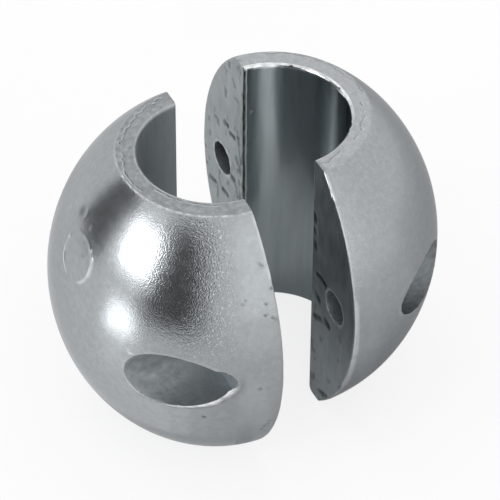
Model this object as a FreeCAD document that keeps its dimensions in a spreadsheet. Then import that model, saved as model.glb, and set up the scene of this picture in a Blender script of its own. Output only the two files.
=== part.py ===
import FreeCAD, Part
import math
import os

import Sketcher

# Sacrificial anode for a propeller shaft: a ball-shaped zinc casting in two halves.
# Each half is a bulging body of revolution about the shaft axis, cut off flat at both
# ends, with a collar that keeps the end rings their width, bored for the shaft and split
# by a plane just short of that axis, so that the two halves pinch the shaft when the
# screws pull them together. The halves stand on their end rings, moved apart across
# the split.
# In each half's own frame Z is the shaft axis, mid-height is the XY plane and the
# casting lies on the -Y side. The far half is turned half way round about Z.

SIZES = [
    ("bore_diameter", 35.0, "shaft bore"),
    ("body_diameter", 77.2, "outside diameter at mid-height"),
    ("body_height", 73.5, "length along the shaft"),
    ("profile_radius", 49.4, "radius of the bulged outline"),
    ("end_ring_width", 5.1, "least width of the flat ring about the bore at both ends"),
    ("split_allowance", 1.2, "zinc missing at the split on each half"),
    ("ring_edge_round", 0.3, "round on the outer edge of both end rings"),
    ("foot_bore_round", 2.0, "round on the lower edge of the bore"),
    ("head_bore_chamfer", 0.4, "chamfer on the upper edge of the bore"),
    ("bolt_offset", 28.6, "from the shaft axis to each bolt axis"),
    ("bolt_hole_diameter", 8.4, "clearance hole for an 8 mm screw"),
    ("tapped_hole_diameter", 6.8, "core of the 8 mm thread"),
    ("tapped_hole_depth", 17.0, "from the split face to the end of the full width"),
    ("tapped_hole_chamfer", 1.0, "countersink at the mouth of the tapped hole"),
    ("drill_point_angle", 118.0, "cone at the end of the tapped hole"),
    ("nut_pocket_diameter", 15.2, "pocket for the nut in the near half"),
    ("nut_seat_distance", 10.2, "from the shaft axis to the nut's seat"),
    ("head_pocket_diameter", 14.0, "pocket for a screw head in the far half"),
    ("head_seat_distance", 14.0, "from the shaft axis to the screw head's seat"),
    ("halves_apart", 17.2, "between the two bore axes, across the split"),
    ("halves_slip", 4.4, "between the two bore axes, along the split"),
    ("far_turn", 0.9, "degrees by which the far half stands askew"),
]

# Where the bulge ends inside the collar, the collar shows as a narrow land at each end,
# and no round takes more than nine tenths of that land.
DERIVED = [
    ("bulge_centre", "=profile_radius - body_diameter / 2",
     "from the shaft axis to the middle of the bulge's arc, on the far side"),
    ("bulge_end_radius", "=sqrt(profile_radius ^ 2 - (body_height / 2) ^ 2) - bulge_centre",
     "radius of the bulge where the flat ends cut it off"),
    ("collar_radius", "=bore_diameter / 2 + end_ring_width", "outside of the collar"),
    ("collar_land",
     "=body_height / 2 - sqrt(profile_radius ^ 2 - (collar_radius + bulge_centre) ^ 2)",
     "height of the collar that shows beyond the bulge"),
    ("ring_radius", "=max(collar_radius; bulge_end_radius)", "outer edge of the end rings"),
    ("ring_round", "=collar_land > 0 ? min(ring_edge_round; 0.9 * collar_land) : ring_edge_round",
     "the round that the end rings get"),
]

# A hole edge or a round is found by its measures to this closeness, in mm.
CLOSE = 1e-4

# The sketcher's own numbers for the points of a curve and for its axes and root point.
START, END, CENTRE = range(1, 4)
HORIZONTAL = ROOT = -1
VERTICAL = -2


def make_sheet(doc):
    sheet = doc.addObject("Spreadsheet::Sheet", "Sizes")
    for row, (name, value, meaning) in enumerate(SIZES + DERIVED, start=1):
        sheet.set("A%d" % row, name)
        sheet.set("B%d" % row, str(value))
        sheet.set("C%d" % row, meaning)
        sheet.setAlias("B%d" % row, name)
    doc.recompute()
    return sheet


def origin_plane(body, role):
    return next(f for f in body.Origin.OriginFeatures if f.Role == role)


def new_sketch(body, name, role, set_back=None):
    """A sketch on one of the body's own planes, set back along the plane's normal."""
    sketch = body.newObject("Sketcher::SketchObject", name)
    sketch.AttachmentSupport = [(origin_plane(body, role), "")]
    sketch.MapMode = "FlatFace"
    if set_back:
        sketch.setExpression("AttachmentOffset.Base.z", set_back)
    return sketch


def bind(sketch, name, kind, *places_and_value):
    """Adds a named constraint whose value follows an expression on the sheet."""
    *places, value, expression = places_and_value
    index = sketch.addConstraint(Sketcher.Constraint(kind, *places, value))
    sketch.renameConstraint(index, name)
    sketch.setExpression("Constraints." + name, expression)


def draw_bulge(body, sheet):
    """Half section of the solid bulge: the axis, two flat ends and one arc between them."""
    top = sheet.body_height / 2
    arc_angle = math.asin(top / sheet.profile_radius)
    sketch = new_sketch(body, body.Label + "_profile", "YZ_Plane")
    point = FreeCAD.Vector
    circle = Part.Circle(point(sheet.bulge_centre, 0, 0), point(0, 0, 1), sheet.profile_radius)
    bulge = sketch.addGeometry(
        Part.ArcOfCircle(circle, math.pi - arc_angle, math.pi + arc_angle))
    corners = [point(-sheet.bulge_end_radius, -top, 0), point(0, -top, 0),
               point(0, top, 0), point(-sheet.bulge_end_radius, top, 0)]
    lower, axis, upper = [sketch.addGeometry(Part.LineSegment(here, after))
                          for here, after in zip(corners, corners[1:])]
    sketch.addConstraint([
        Sketcher.Constraint("Coincident", bulge, END, lower, START),
        Sketcher.Constraint("Coincident", lower, END, axis, START),
        Sketcher.Constraint("Coincident", axis, END, upper, START),
        Sketcher.Constraint("Coincident", upper, END, bulge, START),
        Sketcher.Constraint("Horizontal", lower),
        Sketcher.Constraint("Horizontal", upper),
        Sketcher.Constraint("PointOnObject", axis, START, VERTICAL),
        Sketcher.Constraint("PointOnObject", axis, END, VERTICAL),
        Sketcher.Constraint("PointOnObject", bulge, CENTRE, HORIZONTAL),
    ])
    bind(sketch, "upper_end", "DistanceY", ROOT, START, axis, END, top,
         "Sizes.body_height / 2")
    bind(sketch, "full_height", "DistanceY", axis, START, axis, END, 2 * top,
         "Sizes.body_height")
    bind(sketch, "bulge_radius", "Radius", bulge, sheet.profile_radius,
         "Sizes.profile_radius")
    bind(sketch, "bulge_centre", "DistanceX", ROOT, START, bulge, CENTRE,
         sheet.bulge_centre, "Sizes.bulge_centre")
    return sketch


def revolve_bulge(body, sheet):
    """The arc starts at the middle of the casting's side, so the box ends on its seam."""
    sketch = draw_bulge(body, sheet)
    bulge = body.newObject("PartDesign::Revolution", body.Label + "_bulge")
    bulge.Profile = sketch
    bulge.ReferenceAxis = (sketch, ["V_Axis"])
    bulge.Angle = 360
    return bulge


def shaft_circle(body, name, radius, expression):
    """A circle about the shaft axis at the upper end."""
    sketch = new_sketch(body, name, "XY_Plane", "Sizes.body_height / 2")
    circle = sketch.addGeometry(
        Part.Circle(FreeCAD.Vector(), FreeCAD.Vector(0, 0, 1), radius))
    sketch.addConstraint(Sketcher.Constraint("Coincident", circle, CENTRE, ROOT, START))
    bind(sketch, "radius", "Radius", circle, radius, expression)
    return sketch


def add_collar(body, sheet):
    """Runs from end to end inside the bulge and keeps the end rings their width."""
    collar = body.newObject("PartDesign::Pad", body.Label + "_collar")
    collar.Profile = shaft_circle(body, body.Label + "_collar_circle",
                                  sheet.collar_radius, "Sizes.collar_radius")
    collar.Reversed = True
    collar.setExpression("Length", "Sizes.body_height")
    return collar


def bore_for_shaft(body, sheet):
    bore = body.newObject("PartDesign::Pocket", body.Label + "_bore")
    bore.Profile = shaft_circle(body, body.Label + "_bore_circle",
                                sheet.bore_diameter / 2, "Sizes.bore_diameter / 2")
    bore.Type = "ThroughAll"
    return bore


def split_casting(body, sheet):
    """Leaves one side, less the allowance at the split, so the halves never quite meet."""
    reach = sheet.body_diameter
    sketch = new_sketch(body, body.Label + "_split_outline", "XZ_Plane",
                        "Sizes.split_allowance")
    corners = [(-reach, -reach), (reach, -reach), (reach, reach), (-reach, reach)]
    for here, after in zip(corners, corners[1:] + corners[:1]):
        sketch.addGeometry(Part.LineSegment(FreeCAD.Vector(*here, 0), FreeCAD.Vector(*after, 0)))
    cut = body.newObject("PartDesign::Pocket", body.Label + "_split_face")
    cut.Profile = sketch
    cut.Type = "ThroughAll"
    return cut


def bolt_circle(body, name, side, diameter_name, sheet, set_back=None):
    """A circle about the bolt axis on the +X side (side 1) or the -X side (side -1)."""
    radius = getattr(sheet, diameter_name) / 2
    sketch = new_sketch(body, name, "XZ_Plane", set_back)
    middle = FreeCAD.Vector(side * sheet.bolt_offset, 0, 0)
    circle = sketch.addGeometry(Part.Circle(middle, FreeCAD.Vector(0, 0, 1), radius))
    sketch.addConstraint(Sketcher.Constraint("PointOnObject", circle, CENTRE, HORIZONTAL))
    left_to_right = [(ROOT, START), (circle, CENTRE)][::side]
    bind(sketch, "offset", "DistanceX", *left_to_right[0], *left_to_right[1],
         sheet.bolt_offset, "Sizes.bolt_offset")
    bind(sketch, "size", "Diameter", circle, 2 * radius, "Sizes." + diameter_name)
    return sketch


def cut_outwards(body, name, sketch):
    """A round cut from its sketch plane out through the bulged side."""
    cut = body.newObject("PartDesign::Pocket", name)
    cut.Profile = sketch
    cut.Type = "ThroughAll"
    cut.Reversed = True
    return cut


def bore_bolt_hole(body, sheet, side, label):
    name = "%s_%s" % (body.Label, label)
    sketch = bolt_circle(body, name + "_circle", side, "bolt_hole_diameter", sheet)
    return cut_outwards(body, name, sketch)


def sink_pocket(body, sheet, side, label, diameter_name, seat_name):
    name = "%s_%s" % (body.Label, label)
    sketch = bolt_circle(body, name + "_circle", side, diameter_name, sheet,
                         "Sizes." + seat_name)
    return cut_outwards(body, name, sketch)


def tap_blind_hole(doc, body, sheet, side, label):
    """The hole that one screw bites in: a drilled core, opening in the split face."""
    name = "%s_%s" % (body.Label, label)
    sketch = bolt_circle(body, name + "_circle", side, "tapped_hole_diameter", sheet,
                         "Sizes.split_allowance")
    doc.recompute()
    hole = body.newObject("PartDesign::Hole", name)
    hole.Profile = sketch
    hole.Reversed = True
    hole.DepthType = "Dimension"
    hole.DrillPoint = "Angled"
    hole.HoleCutType = "Countersink"
    hole.HoleCutCustomValues = True
    hole.HoleCutCountersinkAngle = 90
    hole.setExpression("Diameter", "Sizes.tapped_hole_diameter")
    hole.setExpression("Depth", "Sizes.tapped_hole_depth")
    hole.setExpression("DrillPointAngle", "Sizes.drill_point_angle")
    hole.setExpression("HoleCutDiameter",
                       "Sizes.tapped_hole_diameter + 2 * Sizes.tapped_hole_chamfer")
    return hole


def arcs_about_shaft(shape, radius, height):
    """Names of the round edges of this radius about the shaft axis at this height."""
    found = []
    for number, edge in enumerate(shape.Edges, start=1):
        curve = edge.Curve
        if not isinstance(curve, Part.Circle):
            continue
        on_axis = math.hypot(curve.Center.x, curve.Center.y) < CLOSE
        if on_axis and abs(curve.Radius - radius) < CLOSE and abs(curve.Center.z - height) < CLOSE:
            found.append("Edge%d" % number)
    return found


def add_dressing(doc, body, base, kind, label, size_name, edge_names):
    if not edge_names:
        raise RuntimeError("%s: no edge found for %s" % (body.Label, label))
    dressing = body.newObject("PartDesign::" + kind, "%s_%s" % (body.Label, label))
    dressing.Base = (base, edge_names)
    dressing.setExpression("Radius" if kind == "Fillet" else "Size", "Sizes." + size_name)
    doc.recompute()
    return dressing


def ease_edges(doc, body, sheet):
    """Rounds the end rings and the foot of the bore, and chamfers its upper edge."""
    top = sheet.body_height / 2
    bore = sheet.bore_diameter / 2
    ring = sheet.ring_radius
    base = body.Tip
    outer = arcs_about_shaft(base.Shape, ring, top) + arcs_about_shaft(base.Shape, ring, -top)
    rings = add_dressing(doc, body, base, "Fillet", "ring_rounds", "ring_round", outer)
    foot = arcs_about_shaft(rings.Shape, bore, -top)
    foot_round = add_dressing(doc, body, rings, "Fillet", "foot_round", "foot_bore_round", foot)
    head = arcs_about_shaft(foot_round.Shape, bore, top)
    add_dressing(doc, body, foot_round, "Chamfer", "head_chamfer", "head_bore_chamfer", head)


def start_half(doc, sheet, label):
    body = doc.addObject("PartDesign::Body", label)
    body.Label = label
    for make_feature in (revolve_bulge, add_collar, bore_for_shaft, split_casting):
        make_feature(body, sheet)
        doc.recompute()
    return body


def make_near_half(doc, sheet):
    """Takes the nut of one screw in a pocket, and the thread of the other screw."""
    body = start_half(doc, sheet, "near_half")
    bore_bolt_hole(body, sheet, 1, "bolt_hole")
    sink_pocket(body, sheet, 1, "nut_pocket", "nut_pocket_diameter", "nut_seat_distance")
    doc.recompute()
    tap_blind_hole(doc, body, sheet, -1, "tapped_hole")
    doc.recompute()
    ease_edges(doc, body, sheet)
    body.setExpression("Placement.Base.x", "Sizes.halves_slip / 2")
    body.setExpression("Placement.Base.y", "-Sizes.halves_apart / 2")
    body.setExpression("Placement.Base.z", "Sizes.body_height / 2")
    return body


def make_far_half(doc, sheet):
    """Takes the heads of both screws, one in a pocket on each side of the bore."""
    body = start_half(doc, sheet, "far_half")
    for side, end in ((1, "back"), (-1, "front")):
        bore_bolt_hole(body, sheet, side, end + "_bolt_hole")
        sink_pocket(body, sheet, side, end + "_head_pocket",
                    "head_pocket_diameter", "head_seat_distance")
    doc.recompute()
    ease_edges(doc, body, sheet)
    body.Placement.Rotation = FreeCAD.Rotation(FreeCAD.Vector(0, 0, 1), 180)
    body.setExpression("Placement.Rotation.Angle", "180 + Sizes.far_turn")
    body.setExpression("Placement.Base.x", "-Sizes.halves_slip / 2")
    body.setExpression("Placement.Base.y", "Sizes.halves_apart / 2")
    body.setExpression("Placement.Base.z", "Sizes.body_height / 2")
    return body


def check_document(doc):
    for item in doc.Objects:
        if "Invalid" in item.State or "Error" in item.State:
            raise RuntimeError("%s failed: %s" % (item.Name, item.State))


def check_cuts(body):
    """Every cut and edge treatment has to change the volume. The collar may lie buried."""
    volume = None
    for feature in body.Group:
        if not feature.isDerivedFrom("PartDesign::Feature"):
            continue
        may_be_buried = feature.isDerivedFrom("PartDesign::Pad")
        unchanged = volume is not None and abs(feature.Shape.Volume - volume) < CLOSE
        if unchanged and not may_be_buried:
            raise RuntimeError("%s changes nothing" % feature.Name)
        volume = feature.Shape.Volume


def export(bodies):
    os.makedirs("parts", exist_ok=True)
    for body in bodies:
        shape = body.Shape
        if shape.isNull() or not shape.isValid() or len(shape.Solids) != 1:
            raise RuntimeError("%s is not one sound solid" % body.Label)
        shape.exportStep("parts/%s.step" % body.Label)
        box = shape.BoundBox
        print("%s %.1f mm3, x %.2f..%.2f, y %.2f..%.2f, z %.2f..%.2f" % (
            body.Label, shape.Volume, box.XMin, box.XMax, box.YMin, box.YMax, box.ZMin, box.ZMax))


def main():
    doc = FreeCAD.newDocument("sacrificial_anode")
    sheet = make_sheet(doc)
    bodies = [make_near_half(doc, sheet), make_far_half(doc, sheet)]
    doc.recompute()
    check_document(doc)
    for body in bodies:
        check_cuts(body)
    export(bodies)


main()
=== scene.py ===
from math import cos, pi, radians, sin, tan
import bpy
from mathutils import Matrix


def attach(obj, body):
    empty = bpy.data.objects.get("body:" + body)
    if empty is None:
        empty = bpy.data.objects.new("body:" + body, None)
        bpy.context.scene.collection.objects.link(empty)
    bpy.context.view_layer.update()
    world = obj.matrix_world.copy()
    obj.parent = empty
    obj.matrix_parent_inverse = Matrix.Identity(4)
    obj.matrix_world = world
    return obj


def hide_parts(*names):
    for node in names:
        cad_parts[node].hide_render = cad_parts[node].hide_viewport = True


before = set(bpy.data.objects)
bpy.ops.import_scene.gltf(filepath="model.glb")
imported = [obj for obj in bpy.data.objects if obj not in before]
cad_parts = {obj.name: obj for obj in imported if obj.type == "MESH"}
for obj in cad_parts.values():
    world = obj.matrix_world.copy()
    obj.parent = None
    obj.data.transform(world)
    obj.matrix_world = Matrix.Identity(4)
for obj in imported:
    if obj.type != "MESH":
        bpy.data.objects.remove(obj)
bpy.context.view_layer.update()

from types import SimpleNamespace

import bmesh
import bpy
import numpy as np
from mathutils import Matrix, Vector

# The studio, in metres. Directions are azimuth and elevation in degrees, azimuth 0 towards -Y.
FLOOR_SIZE = 12.0
MIDDLE = Vector((0.0022, -0.0086, 0.03675))

# The photograph's camera, found by fitting the castings' edges. It stands this many bore radii
# to the right of the middle, above it and back from it. The focal length is in pixels.
CAMERA_AZIMUTH, CAMERA_ELEVATION, CAMERA_ROLL = 63.70, 43.67, -0.36
CAMERA_RIGHT, CAMERA_UP, CAMERA_BACK, CAMERA_UNIT = 0.4713, 0.2248, 43.77, 0.0175
FOCAL_LENGTH, PICTURE_SIZE, SENSOR_WIDTH = 3307.85, 500, 36.0

# The soft box, and half of the angles that it fills
KEY_DIRECTION, KEY_DISTANCE, KEY_RADIANCE = (5, 21), 0.9, 5.5
KEY_HALF_WIDTH, KEY_HALF_HEIGHT = 12.3, 11

# Upright panels: azimuth, elevation, width and height in degrees, distance, then grey and lean
# for a flag, or glow for a bright panel
FLAGS = {"left_flag": (-30, 18.5, 27, 39, 0.32, 0.16, 1),
         "right_flag": (39.5, 19, 34, 54, 0.27, 0.07, 0),
         "low_flag": (19, -1, 8, 16, 0.268, 0.35, 0)}
BRIGHT_PANELS = {"side_panel": (99, 18, 38, 60, 0.95, 1.38),
                 "back_panel": (127, 18, 18, 60, 0.95, 1.1)}

# Cards on the floor that show only in the metal, painting the table's reflected light, shade and
# shadow into it: a ring's two radii in millimetres, then its spans of turn in degrees with each
# one's glow, its grey and glow, or its grey
# Painted reflection of the lit table in front, with painted contact shade nearest the foot and the
# start of the soft box's reflection
FRONT_TABLE = (
    ((24, 31), ((-178, -46, 0.74), (-46, -28, 0.69), (-28, -20, 0.67), (-20, -13, 0.635))),
    ((31, 70), ((-178, -162, 0.86), (-162, -48, 1.06), (-48, -38, 0.96), (-38, -28, 0.82),
                (-28, -20, 0.77), (-20, -13, 0.73))),
    ((70, 126), ((-178, -165, 0.88), (-165, -89, 1.03), (-89, -73, 1.2), (-73, -60, 1.0),
                 (-60, -26, 0.88), (-26, 26, 0.82))),
    ((132, 600), ((-178, -145, 1.07),)),
    ((132, 240), ((-145, -104, 1.02),)),
    ((126, 240), ((-45, -14, 0.86),)),
    ((240, 420), ((-66, -18, 0.86),)))
# Painted reflection of the soft box in the table
GLEAM = (((127, 340), ((-90.5, -72.5, 3.5),)),)
# Painted shade on the table under and between the halves, as the metal shows it
GAP_TABLE = (
    ((0.1, 28), ((-180, 180, 0.93, 0.03),)),
    ((28, 75), ((-44, -8, 0.95, 0), (-8, 22, 0.82, 0), (158, 206, 0.93, 0))))
# Painted shadow of the castings on the table behind the far half, as the metal shows it
BACK_TABLE = (
    ((26, 50), ((-12, 34, 0.70),)),
    ((26, 38), ((34, 125, 0.58),)),
    ((38, 50), ((34, 128, 0.62),)),
    ((50, 64), ((-8, 34, 0.76), (34, 132, 0.66))),
    ((64, 84), ((-5, 140, 0.69),)),
    ((84, 115), ((0, 60, 0.74), (60, 150, 0.67))),
    ((115, 220), ((5, 38, 0.82), (38, 62, 0.75), (62, 165, 0.67))),
    ((220, 500), ((62, 165, 0.70),)))
TABLE_ROUGHNESS, TABLE_SPECULAR = 0.16, 0.8
FLOOR_GLOW, FLOOR_LEAST = 0.8, 0.5


def direction(azimuth, elevation):
    a, e = radians(azimuth), radians(elevation)
    return Vector((sin(a) * cos(e), -cos(a) * cos(e), sin(e)))


def set_camera():
    azimuth, elevation = radians(CAMERA_AZIMUTH), radians(CAMERA_ELEVATION)
    roll = radians(CAMERA_ROLL)
    right = Vector((cos(azimuth), sin(azimuth), 0.0))
    away = Vector((-sin(azimuth), cos(azimuth), 0.0))
    forward = away * cos(elevation) - Vector((0, 0, sin(elevation)))
    up = away * sin(elevation) + Vector((0, 0, cos(elevation)))
    offset = CAMERA_RIGHT * right + CAMERA_UP * up - CAMERA_BACK * forward
    turned_right = cos(roll) * right - sin(roll) * up
    turned_up = sin(roll) * right + cos(roll) * up
    camera = bpy.data.objects.new("camera", bpy.data.cameras.new("camera"))
    camera.data.sensor_width = SENSOR_WIDTH
    camera.data.lens = SENSOR_WIDTH * FOCAL_LENGTH / PICTURE_SIZE
    camera.data.clip_end = 30.0
    camera.matrix_world = Matrix((turned_right, turned_up, -forward)).transposed().to_4x4()
    camera.location = MIDDLE + CAMERA_UNIT * offset
    bpy.context.scene.collection.objects.link(camera)
    bpy.context.scene.camera = camera


def feed(node, inputs):
    """Sets or links a node's inputs, given by name or place."""
    for where, value in inputs.items():
        if isinstance(value, bpy.types.NodeSocket):
            node.id_data.links.new(value, node.inputs[where])
        else:
            node.inputs[where].default_value = value


def add_node(material, kind, inputs, **settings):
    node = material.node_tree.nodes.new("ShaderNode" + kind)
    for setting, value in settings.items():
        setattr(node, setting, value)
    feed(node, inputs)
    return node


def new_material(name):
    """A material with its shader and its output node."""
    material = bpy.data.materials.new(name)
    material.use_nodes = True
    nodes = material.node_tree.nodes
    return material, nodes["Principled BSDF"], nodes["Material Output"]


def grey_material(name, grey, roughness, specular=0.5, glow=0):
    material, shader, _ = new_material(name)
    feed(shader, {"Base Color": (grey, grey, grey, 1), "Roughness": roughness,
                  "Specular IOR Level": specular, "Emission Strength": glow})
    return material


def glow_material(name, strength):
    material, _, out = new_material(name)
    feed(out, {"Surface": add_node(material, "Emission", {"Strength": strength}).outputs[0]})
    return material


def floor_material():
    """A pale table top that shows brighter than it is lit, most of all to the camera and in
    the metal, with the shadow kept."""
    material, shader, out = new_material("floor")
    feed(shader, {"Base Color": (0.93, 0.93, 0.93, 1), "Roughness": TABLE_ROUGHNESS,
                  "Specular IOR Level": TABLE_SPECULAR})
    path = add_node(material, "LightPath", {})
    share = FLOOR_LEAST
    for label in ("Is Camera Ray", "Is Glossy Ray", "Is Transmission Ray"):
        inputs = {0: path.outputs[label], 1: share}
        share = add_node(material, "Math", inputs, operation="MAXIMUM").outputs[0]
    share = add_node(material, "Math", {0: share, 1: FLOOR_GLOW}, operation="MULTIPLY").outputs[0]
    glow = add_node(material, "Emission", {}).outputs[0]
    mixed = add_node(material, "MixShader", {0: share, 1: shader.outputs[0], 2: glow})
    feed(out, {"Surface": mixed.outputs[0]})
    return material


def add_stage_mesh(name, verts, faces, material):
    mesh = bpy.data.meshes.new(name)
    mesh.from_pydata(verts, [], faces)
    mesh.materials.append(material)
    obj = bpy.data.objects.new(name, mesh)
    bpy.context.scene.collection.objects.link(obj)
    return obj


def strip_faces(steps):
    """Faces of a strip whose points come in pairs."""
    return [(2 * i, 2 * i + 2, 2 * i + 3, 2 * i + 1) for i in range(steps)]


def panel(name, azimuth, elevation, width, height, distance, material, lean=0):
    """An upright stage panel that faces the castings. Its bottom edge may reach the floor."""
    steps = 12
    verts = []
    for i in range(steps + 1):
        for side in (-1, 1):
            foot = direction(azimuth + width * (i / steps - 0.5) + side * lean, 0) * distance
            e = elevation + side * height / 2
            verts.append((foot.x, foot.y, max(0.001, MIDDLE.z + distance * tan(radians(e)))))
    add_stage_mesh(name, verts, strip_faces(steps), material).visible_camera = False


def floor_card(name, middle, radii, turns, material, height):
    """A part of a ring that lies on the floor and shows only in the metal, in millimetres."""
    steps = 16
    verts = []
    for i in range(steps + 1):
        turn = radians(turns[0] + (turns[1] - turns[0]) * i / steps)
        for r in radii:
            x, y = middle[0] + r * cos(turn), middle[1] + r * sin(turn)
            verts.append((x / 1000, y / 1000, height))
    card = add_stage_mesh(name, verts, strip_faces(steps), material)
    card.visible_camera = False
    card.visible_shadow = False
    card.visible_diffuse = False


def lay_table(name, middle, rings, make_material, height=0.0004):
    """Floor cards for every span of every ring, numbered in order."""
    number = 0
    for radii, spans in rings:
        for first, last, *values in spans:
            label = f"{name}_{number}"
            floor_card(label, middle, radii, (first, last), make_material(label, *values), height)
            number += 1


def build_studio():
    scene = bpy.context.scene
    scene.view_settings.view_transform = "Standard"
    scene.world = bpy.data.worlds.new("studio")
    scene.world.use_nodes = True
    background = scene.world.node_tree.nodes["Background"]
    background.inputs["Color"].default_value = (1, 1, 1, 1)
    background.inputs["Strength"].default_value = 1.0

    s = FLOOR_SIZE / 2
    corners = [(-s, -s, 0), (s, -s, 0), (s, s, 0), (-s, s, 0)]
    add_stage_mesh("floor", corners, [(0, 1, 2, 3)], floor_material())

    key = bpy.data.objects.new("soft_box", bpy.data.lights.new("soft_box", "AREA"))
    key.data.shape = "RECTANGLE"
    key.data.size = 2 * KEY_DISTANCE * tan(radians(KEY_HALF_WIDTH))
    key.data.size_y = 2 * KEY_DISTANCE * tan(radians(KEY_HALF_HEIGHT))
    key.data.energy = KEY_RADIANCE * pi * key.data.size * key.data.size_y
    key.location = MIDDLE + direction(*KEY_DIRECTION) * KEY_DISTANCE
    key.rotation_euler = (MIDDLE - key.location).to_track_quat("-Z", "Y").to_euler()
    key.visible_camera = False
    scene.collection.objects.link(key)

    for name, (*where, grey, lean) in FLAGS.items():
        panel(name, *where, grey_material(name, grey, 0.9, 0.0), lean)
    for name, (*where, glow) in BRIGHT_PANELS.items():
        panel(name, *where, glow_material(name, glow))

    def table_material(name, grey, glow):
        return grey_material(name, grey, TABLE_ROUGHNESS, TABLE_SPECULAR, glow)

    def matt_material(name, grey):
        return grey_material(name, grey, 0.6)

    # Cards that paint the table's reflected light, shade and shadow into the metal
    lay_table("front_table", (2, -9), FRONT_TABLE, glow_material)
    lay_table("table_gleam", (2, -9), GLEAM, glow_material)
    lay_table("gap_table", (0, 0), GAP_TABLE, table_material, 0.0003)
    lay_table("back_table", (-2, 9), BACK_TABLE, matt_material)


set_camera()
build_studio()

# Castings, in millimetres in each half's own frame: Z is the shaft axis, mid-height is
# z = 0, the split face looks towards +Y and lies ALLOWANCE away from the axis on the -Y side.
# The bulge ends at LAND_END, below and above, and the end rings lie at TOP.
BULGE_RADIUS, BULGE_CENTRE = 49.4, 10.8
EQUATOR = BULGE_RADIUS - BULGE_CENTRE
COLLAR, BORE, TOP, ALLOWANCE = 22.6, 17.5, 36.75, 1.2
LAND_END = 36.4
BOLT_OFFSET, BOLT_RADIUS = 28.6, 4.2
TAP_CORE, TAP_MOUTH, TAP_DEPTH, TAP_PITCH, TAP_POINT = 3.4, 4.4, 17.0, 1.25, 118
SMALL_ROUND, FOOT_ROUND = 0.22, 2.0
CAP_ROWS = 168
ROUND_STEPS = np.array([0.0, 22.5, 45.0])
FOOT_STEPS = np.radians([0, 22.5, 45, 67.5, 90])
ROUND_SHARES = (1 - np.sin(np.radians(22.5)), 1.0)
NEAR_PLACE = Matrix.Translation((2.2, -8.6, 36.75))
FAR_PLACE = Matrix.Translation((-2.2, 8.6, 36.75)) @ Matrix.Rotation(radians(180.9), 4, "Z")


def noise(points, size, seed):
    """Smooth noise from -1 to 1 with features of this size, the same on every run."""
    p = np.asarray(points, float) / size + seed * 17.31
    cell = np.floor(p).astype(np.int64)
    f = p - cell
    f = f * f * (3 - 2 * f)
    total = np.zeros(p.shape[:-1])
    for corner in range(8):
        step = np.array([corner & 1, corner >> 1 & 1, corner >> 2 & 1])
        q = cell + step
        h = (q[..., 0] * 73856093) ^ (q[..., 1] * 19349663) ^ (q[..., 2] * 83492791)
        h = h ^ (seed * 2654435)
        h = (h ^ (h >> 13)) * 1274126177 & 0x7FFFFFFF
        h = (h ^ (h >> 11)) & 0xFFFF
        weight = np.prod(np.where(step, f, 1 - f), axis=-1)
        total += weight * (h / 32767.5 - 1)
    return total


def rough(points, size, seed, octaves=3):
    return sum(noise(points, size / 2 ** n, seed + n) / 1.7 ** n for n in range(octaves))


def bulge_rho(z):
    return np.sqrt(BULGE_RADIUS ** 2 - z ** 2) - BULGE_CENTRE


def spaced(low, high, step, fine=()):
    """Places from low to high about a step apart, closer together within the fine spans."""
    places = [low]
    while places[-1] < high:
        here = places[-1]
        wanted = step
        for a, b, small in fine:
            gap = max(a - here, here - b, 0.0)
            wanted = min(wanted, small + 0.35 * gap)
        places.append(here + wanted)
    places = np.array(places)
    return low + (places - low) * (high - low) / (places[-1] - low)


def smooth(value, low, high):
    """A smooth step from 0 at the low value to 1 at the high one."""
    t = np.clip((value - low) / (high - low), 0, 1)
    return t * t * (3 - 2 * t)


def rounding(distance, radius):
    """How far a surface sinks at this distance from an edge that has a round."""
    inside = np.clip(radius - distance, 0, radius)
    return radius - np.sqrt(radius ** 2 - inside ** 2)


class Shell:
    """Points, and faces with the kind of their surface."""

    def __init__(self):
        self.points, self.faces, self.kinds, self.count = [], [], [], 0

    def add(self, points):
        points = np.asarray(points, float).reshape(-1, 3)
        self.points.append(points)
        self.count += len(points)
        return np.arange(self.count - len(points), self.count)

    def add_at(self, flat, y):
        """Adds points given by their x and z, all at one y or each at its own."""
        y = np.broadcast_to(y, flat.shape[:-1])
        return self.add(np.stack([flat[..., 0], y, flat[..., 1]], -1))

    def all_points(self):
        return np.concatenate(self.points)

    def face(self, corners, kind):
        self.faces.append([int(c) for c in corners])
        self.kinds.append(kind)

    def quads(self, grid, kind, windows=()):
        """Quads between a grid's points, except in the windows that are cut in it."""
        for i in range(grid.shape[0] - 1):
            for j in range(grid.shape[1] - 1):
                if not any(w[0] <= i < w[1] and w[2] <= j < w[3] for w in windows):
                    self.face((*grid[i, j:j + 2], *grid[i + 1, j:j + 2][::-1]), kind)

    def rings(self, loops, kind):
        """Quads between closed loops of equal count."""
        for a, b in zip(loops, loops[1:]):
            for k in range(len(a)):
                m = (k + 1) % len(a)
                self.face((a[k], a[m], b[m], b[k]), kind)

    def bridge(self, a, b, kind, fa=None, fb=None):
        """Triangles between two open lines of points that differ in number."""
        fa = np.linspace(0, 1, len(a)) if fa is None else fa
        fb = np.linspace(0, 1, len(b)) if fb is None else fb
        i = j = 0
        while i < len(a) - 1 or j < len(b) - 1:
            if j == len(b) - 1 or (i < len(a) - 1 and fa[i + 1] <= fb[j + 1]):
                self.face((a[i], a[i + 1], b[j]), kind)
                i += 1
            else:
                self.face((a[i], b[j + 1], b[j]), kind)
                j += 1


def border(grid, window):
    """The closed loop of a grid's points around a window."""
    i0, i1, j0, j1 = window
    sides = [grid[i0, j0:j1], grid[i0:i1, j1], grid[i1, j1:j0:-1], grid[i1:i0:-1, j0]]
    return np.concatenate(sides)


def lengths(points, closed=True):
    """Each point's share of the way along a line."""
    ahead = np.roll(points, -1, axis=0) if closed else points[1:]
    steps = np.linalg.norm(ahead - (points if closed else points[:-1]), axis=1)
    along = np.concatenate([[0], np.cumsum(steps)])
    return (along / along[-1])[:len(points)]


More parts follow.
